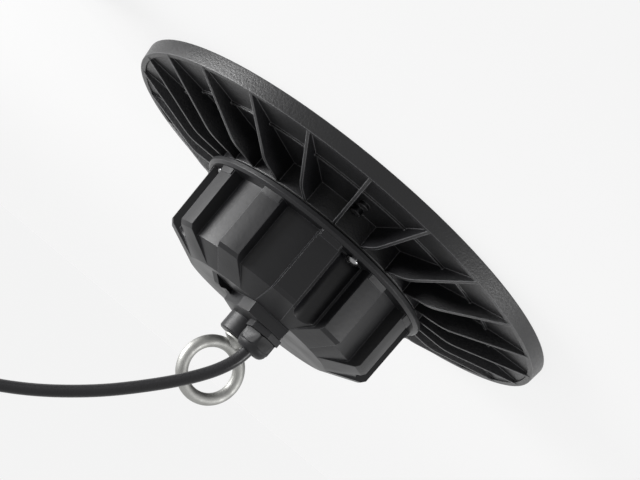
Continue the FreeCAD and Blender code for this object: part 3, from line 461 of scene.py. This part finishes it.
class HIGHBAY_OT_cord(bpy.types.Operator):
    """Lay the supply cord from the gland, round into its coil, to its stripped end"""
    bl_idname = "highbay.cord"
    bl_label = "Supply Cord"

    def execute(self, context):
        settings = context.scene.high_bay_cord
        finish = context.scene.high_bay_finish
        route = [Vector(p) * MM for p in CORD_ROUTE] + coil_points(settings)
        route += [Vector(p) * MM for p in CORD_TAIL]
        curve = bpy.data.curves.new("supply_cord", "CURVE")
        curve.dimensions = "3D"
        spline = curve.splines.new("NURBS")
        spline.points.add(len(route) - 1)
        for point, place in zip(spline.points, route):
            point.co = (*place, 1.0)
        spline.order_u = 3
        spline.use_endpoint_u = True
        spline.resolution_u = 8
        curve.bevel_depth = settings.diameter / 2
        curve.bevel_resolution = 6
        curve.use_fill_caps = True
        cord = bpy.data.objects.new("supply_cord", curve)
        context.scene.collection.objects.link(cord)
        curve.materials.append(pvc_sheath(finish.sheath))
        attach(cord, "root")
        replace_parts(cord, "power_cord", "cord_coil", "cord_tail")
        dress("core_live", speckled("PVC core brown", "6B3A1E", 0.4, 2.0, 0.02))
        dress("core_neutral", speckled("PVC core blue", "1F4FA0", 0.4, 2.0, 0.02))
        dress("core_earth", striped_core())
        dress("core_ferrules", speckled("tinned copper", "CFC9BC", 0.3, 0.8, 0.02, 1.0))
        dress("cord_tie", moulded_nylon("nylon strap", hex_color("202022")))
        return {"FINISHED"}


# ---------------------------------------------------------------------------------------------
# Castings, screws and inner pieces
# ---------------------------------------------------------------------------------------------
class HIGHBAY_OT_castings(bpy.types.Operator):
    """Coat the heat sink and the driver housing"""
    bl_idname = "highbay.castings"
    bl_label = "Castings"

    def execute(self, context):
        finish = context.scene.high_bay_finish
        dress("heat_sink", textured_powder_coat(finish.sink))
        dress("driver_housing", satin_powder_coat(finish.housing))
        dress("housing_gasket", moulded_rubber("EPDM gasket", "1C1C1C"))
        return {"FINISHED"}


# (radius, height) from the screw's seat, then the circle's radius, count, first angle and height
HOUSING_SCREW = [(0, 2.2), (2.8, 2.2), (3.4, 1.9), (4.1, 0.9), (4.3, 0.2), (4.2, 0), (2.5, 0),
                 (2.5, -15.4), (1.9, -16), (0, -16)]
HOUSING_CIRCLE = (70.5, 4, -107.2, 28.5)
LENS_SCREW = [(0, -1.4), (1.9, -1.4), (2.3, -1.1), (2.6, -0.5), (2.7, 0), (1.5, 0), (1.5, 4.4),
              (1.2, 4.7), (0, 4.7)]
LENS_CIRCLE = (139.6, 12, 15.0, 1.9)


class HIGHBAY_OT_screws(bpy.types.Operator):
    """Turn the housing's socket screws and the lens ring's cross-head screws"""
    bl_idname = "highbay.screws"
    bl_label = "Screws"

    def execute(self, context):
        # painted shade: a darker grey than the same steel on the inner screws, for heads in the
        # screw channels
        steel = machined_steel(hex_color("858586"))
        screw = lathe("housing_screw", HOUSING_SCREW)
        bpy.ops.mesh.primitive_cylinder_add(vertices=6, radius=2.3 * MM, depth=4 * MM,
                                            location=(0, 0, 2.9 * MM))
        carve(screw, bpy.context.object)
        self.finish(screw, steel, "housing_screws", *HOUSING_CIRCLE)
        screw = lathe("lens_screw", LENS_SCREW, 40)
        for size in ((3.0, 0.6), (0.6, 3.0)):
            bpy.ops.mesh.primitive_cube_add(size=MM, location=(0, 0, -1.3 * MM))
            slot = bpy.context.object
            slot.scale = (*size, 1.4)
            carve(screw, slot)
        self.finish(screw, steel, "lens_screws", *LENS_CIRCLE)
        return {"FINISHED"}

    def finish(self, screw, steel, node, circle, count, first, height):
        """Repeat the screw round its circle in place of the CAD node's."""
        screw.data.materials.append(steel)
        smooth(screw, 30)
        row = round_of(screw, circle, count, math.radians(first), height)
        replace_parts(settle(row, node + "_turned"), node)


# node, material, colour, roughness, grain in mm, relief in mm and, for metals, 1
INNER_FINISHES = [
    ("led_board", "white solder mask", "ECECE8", 0.4, 12.0, 0.01),
    ("led_chips", "phosphor in silicone", "E9D873", 0.3, 0.8, 0.02),
    ("insulating_sheet", "aramid paper", "DDD9C8", 0.7, 1.5, 0.02),
    ("board_spacers", "turned brass", "B99A4F", 0.3, 0.6, 0.01, 1.0),
    ("driver_board", "green solder mask", "1E6B39", 0.35, 5.0, 0.02),
    ("transformer", "polyester tape yellow", "D9BE3A", 0.4, 4.0, 0.04),
    ("capacitors", "shrink sleeve black", "1D1D22", 0.3, 6.0, 0.02),
    ("choke", "enamelled copper", "8E4B25", 0.3, 1.2, 0.3),
    ("supply_cores", "PVC core white", "DCDCD8", 0.45, 2.0, 0.01),
    ("led_leads", "silicone lead", "E4E4E0", 0.5, 2.0, 0.01),
]


class HIGHBAY_OT_inner_pieces(bpy.types.Operator):
    """Finish the driver, its wiring and the light engine"""
    bl_idname = "highbay.inner_pieces"
    bl_label = "Inner Pieces"

    def execute(self, context):
        steel = machined_steel(hex_color("CFCFD0"))
        for name in ("board_screws", "driver_screws"):
            dress(name, steel)
        for name, *finish in INNER_FINISHES:
            dress(name, speckled(*finish))
        dress("lens_gasket", moulded_rubber("silicone gasket", "D8D8D4", 0.5))
        dress("terminal_block", moulded_nylon("polyamide green", hex_color("2B7A41")))
        dress("lead_grommet", moulded_rubber("rubber grommet", "1B1B1B"))
        return {"FINISHED"}


# ---------------------------------------------------------------------------------------------
# Hanging eye, cable gland and lens
# ---------------------------------------------------------------------------------------------
EYE_TURN = -20.0
EYE_RING, EYE_WIRE, EYE_MIDDLE = 17.4 * MM, 3.75 * MM, 119.8 * MM
THREAD_ROOT, THREAD_CREST, THREAD_LOW, THREAD_TURNS, THREAD_PITCH = 4.4, 5.0, 64.4, 20, 1.5


class HIGHBAY_OT_hanging_eye(bpy.types.Operator):
    """Forge the hanging eye with its collar, and finish its washer and nut"""
    bl_idname = "highbay.hanging_eye"
    bl_label = "Hanging Eye"

    def execute(self, context):
        zinc = zinc_plated_steel(context.scene.high_bay_finish.zinc)
        neck = [(7.0, 96.0), (7.8, 96.6), (7.6, 97.5), (6.8, 98.0), (6.2, 98.3), (5.2, 99.0),
                (4.5, 100.0), (4.0, 101.4), (0, 101.8)]
        shank = [(0, 64.0), (THREAD_ROOT, 64.0)]
        for turn in range(THREAD_TURNS):
            low = THREAD_LOW + turn * THREAD_PITCH
            shank += [(THREAD_ROOT, low), (THREAD_CREST, low + THREAD_PITCH / 2)]
        shank += [(THREAD_ROOT, 94.6), (THREAD_ROOT, 96.0)]
        shaft = lathe("eye_shaft", shank + neck)
        bpy.ops.mesh.primitive_torus_add(
            major_radius=EYE_RING, minor_radius=EYE_WIRE, major_segments=112,
            minor_segments=36, location=(0, 0, EYE_MIDDLE), rotation=(math.pi / 2, 0, 0))
        eye = joined([bpy.context.object, shaft])
        eye.data.materials.clear()
        eye.data.materials.append(zinc)
        smooth(eye, 35)
        only(eye)
        bpy.ops.object.transform_apply(location=True, rotation=True, scale=True)
        eye.rotation_euler = (0, 0, math.radians(EYE_TURN))
        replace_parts(settle(eye, "forged_eye"), "eye_bolt")
        dress("eye_washer", zinc)
        dress("eye_nut", zinc)
        return {"FINISHED"}


GLAND_CIRCLE, GLAND_ANGLE = 33.4, -106.7
CAP_PROFILE = [
    (8.2, 88.8), (10.4, 88.8), (11.0, 89.4), (10.9, 94.6), (10.3, 95.6), (9.5, 96.2), (9.3, 97.4),
    (8.6, 98.7), (7.6, 99.7), (6.3, 100.3), (4.8, 100.3), (4.4, 99.9), (4.4, 96.5), (8.2, 96.5),
    (8.2, 88.8),
]


class HIGHBAY_OT_gland(bpy.types.Operator):
    """Finish the cable gland's body, cap, seal and locknut"""
    bl_idname = "highbay.gland"
    bl_label = "Cable Gland"

    def execute(self, context):
        nylon = moulded_nylon("glass filled nylon", context.scene.high_bay_finish.nylon)
        for name in ("gland_body", "gland_locknut"):
            dress(name, nylon)
        angle = math.radians(GLAND_ANGLE)
        where = Vector((math.cos(angle), math.sin(angle), 0)) * (GLAND_CIRCLE * MM)
        cap = lathe("cap_turned", CAP_PROFILE, 96)
        bpy.ops.mesh.primitive_cylinder_add(vertices=6, radius=11.32 * MM, depth=20 * MM,
                                            location=(0, 0, 95 * MM))
        flats = bpy.context.object
        bevel_edges(flats, 0.8 * MM, 3, 20)
        carve(cap, flats, "INTERSECT")
        cap.data.materials.clear()
        cap.data.materials.append(nylon)
        smooth(cap, 32)
        cap.matrix_world = Matrix.Translation(where)
        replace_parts(settle(cap, "cap_with_dome"), "gland_cap")
        dress("gland_seal", moulded_rubber("neoprene seal", "1A1A1A"))
        return {"FINISHED"}


class HIGHBAY_OT_lens(bpy.types.Operator):
    """Finish the lens plate"""
    bl_idname = "highbay.lens"
    bl_label = "Lens"

    def execute(self, context):
        dress("lens_plate", frosted_polycarbonate(context.scene.high_bay_finish.lens))
        return {"FINISHED"}


# ---------------------------------------------------------------------------------------------
# Stage
# ---------------------------------------------------------------------------------------------
CAMERA_SPOT = Vector((0.0, -0.6911, 0.1532))
CAMERA_AHEAD = Vector((-0.0003, 0.9815, -0.1914))
CAMERA_UP = Vector((0.6427, -0.1464, -0.752))
# the floor's grey takes the shadows, and its glow is added where the stage is seen
FLOOR_COLOR, FLOOR_GLOW = (0.14, 0.14, 0.14, 1), 0.79
SURROUND_COLOR = (0.9, 0.9, 0.9, 1)


def aimed(spot, ahead, up):
    """Matrix of an object that looks along ahead with up in its vertical plane."""
    back = -ahead.normalized()
    side = up.cross(back).normalized()
    top = back.cross(side)
    turn = Matrix((side, top, back)).transposed().to_4x4()
    return Matrix.Translation(spot) @ turn


def softbox(name, spot, target, size, power):
    """Rectangular area light at a spot, turned to a target."""
    light = bpy.data.lights.new(name, "AREA")
    light.shape = "RECTANGLE"
    light.size, light.size_y = size
    light.energy = power
    obj = bpy.data.objects.new(name, light)
    bpy.context.scene.collection.objects.link(obj)
    obj.matrix_world = aimed(Vector(spot), Vector(target) - Vector(spot), Vector((0, 0.3, 1)))
    return obj


def white_when_seen(tree):
    """1 for the rays by which the stage is seen: straight, in a reflection or through glass."""
    path = add_node(tree, "ShaderNodeLightPath")
    seen = path.outputs["Is Camera Ray"]
    for name in ("Is Glossy Ray", "Is Transmission Ray"):
        seen = add_node(tree, "ShaderNodeMath", {"operation": "MAXIMUM"},
                        {0: seen, 1: path.outputs[name]}).outputs[0]
    return seen


class HIGHBAY_OT_stage(bpy.types.Operator):
    """Set up the white floor, the surround, the softboxes and the camera"""
    bl_idname = "highbay.stage"
    bl_label = "Stage"

    def execute(self, context):
        settings = context.scene.high_bay_stage
        scene = context.scene
        camera_data = bpy.data.cameras.new("camera")
        camera_data.lens = settings.lens_length
        camera_data.sensor_width = 36.0
        camera_data.clip_start = 0.01
        camera = bpy.data.objects.new("camera", camera_data)
        scene.collection.objects.link(camera)
        camera.matrix_world = aimed(CAMERA_SPOT, CAMERA_AHEAD, CAMERA_UP)
        scene.camera = camera

        deselect()
        bpy.ops.mesh.primitive_plane_add(size=6.0, location=(0, 0, 0))
        floor = bpy.context.object
        floor.name = "floor"
        material = bpy.data.materials.new("white laminate floor")
        material.use_nodes = True
        tree = material.node_tree
        surface = tree.nodes["Principled BSDF"]
        surface.inputs["Base Color"].default_value = FLOOR_COLOR
        surface.inputs["Roughness"].default_value = 0.9
        glow = add_node(tree, "ShaderNodeMath", {"operation": "MULTIPLY"},
                        {0: white_when_seen(tree), 1: FLOOR_GLOW})
        tree.links.new(glow.outputs[0], surface.inputs["Emission Strength"])
        surface.inputs["Emission Color"].default_value = (1, 1, 1, 1)
        # seen from below, the floor is clear and doesn't hide the lens side
        side = add_node(tree, "ShaderNodeNewGeometry")
        open_below = add_node(tree, "ShaderNodeMixShader", None,
                              {0: side.outputs["Backfacing"], 1: surface.outputs["BSDF"],
                               2: add_node(tree, "ShaderNodeBsdfTransparent").outputs[0]})
        tree.links.new(open_below.outputs[0],
                       tree.nodes["Material Output"].inputs["Surface"])
        floor.data.materials.append(material)

        world = bpy.data.worlds.new("studio")
        scene.world = world
        world.use_nodes = True
        tree = world.node_tree
        tree.nodes.clear()
        strength = add_node(tree, "ShaderNodeMapRange", None,
                            {"Value": white_when_seen(tree),
                             "To Min": settings.world_strength, "To Max": 1.0})
        background = add_node(tree, "ShaderNodeBackground", None,
                              {"Color": SURROUND_COLOR,
                               "Strength": strength.outputs["Result"]})
        out = add_node(tree, "ShaderNodeOutputWorld")
        tree.links.new(background.outputs[0], out.inputs["Surface"])

        softbox("main softbox", (1.1, -0.12, 0.16), (0, 0, 0.05), (0.8, 0.28),
                settings.main_power)
        softbox("side softbox", (-1.0, -0.35, 0.2), (0, 0, 0.03), (0.5, 0.34),
                settings.side_power)
        scene.view_settings.view_transform = "Standard"
        return {"FINISHED"}


# ---------------------------------------------------------------------------------------------
# Panel and registration
# ---------------------------------------------------------------------------------------------
OPERATORS = (HIGHBAY_OT_stage, HIGHBAY_OT_cord, HIGHBAY_OT_castings, HIGHBAY_OT_screws,
             HIGHBAY_OT_inner_pieces, HIGHBAY_OT_hanging_eye, HIGHBAY_OT_gland,
             HIGHBAY_OT_lens)


class HIGHBAY_PT_panel(bpy.types.Panel):
    """High bay light's steps and settings"""
    bl_idname = "HIGHBAY_PT_panel"
    bl_label = "High Bay Light"
    bl_space_type = "VIEW_3D"
    bl_region_type = "UI"
    bl_category = "High Bay"

    def draw(self, context):
        layout = self.layout
        for group in ("high_bay_finish", "high_bay_cord", "high_bay_stage"):
            settings = getattr(context.scene, group)
            column = layout.column()
            for name in settings.__annotations__:
                column.prop(settings, name)
        for operator in OPERATORS:
            layout.operator(operator.bl_idname)


CLASSES = (HighBayFinish, HighBayCord, HighBayStage, *OPERATORS, HIGHBAY_PT_panel)


def register():
    for cls in CLASSES:
        bpy.utils.register_class(cls)
    bpy.types.Scene.high_bay_finish = bpy.props.PointerProperty(type=HighBayFinish)
    bpy.types.Scene.high_bay_cord = bpy.props.PointerProperty(type=HighBayCord)
    bpy.types.Scene.high_bay_stage = bpy.props.PointerProperty(type=HighBayStage)


def unregister():
    for name in ("high_bay_finish", "high_bay_cord", "high_bay_stage"):
        delattr(bpy.types.Scene, name)
    for cls in reversed(CLASSES):
        bpy.utils.unregister_class(cls)


def main():
    register()
    bpy.ops.highbay.stage()
    bpy.ops.highbay.cord()
    bpy.ops.highbay.castings()
    bpy.ops.highbay.screws()
    bpy.ops.highbay.inner_pieces()
    bpy.ops.highbay.hanging_eye()
    bpy.ops.highbay.gland()
    bpy.ops.highbay.lens()


if __name__ == "__main__":
    main()
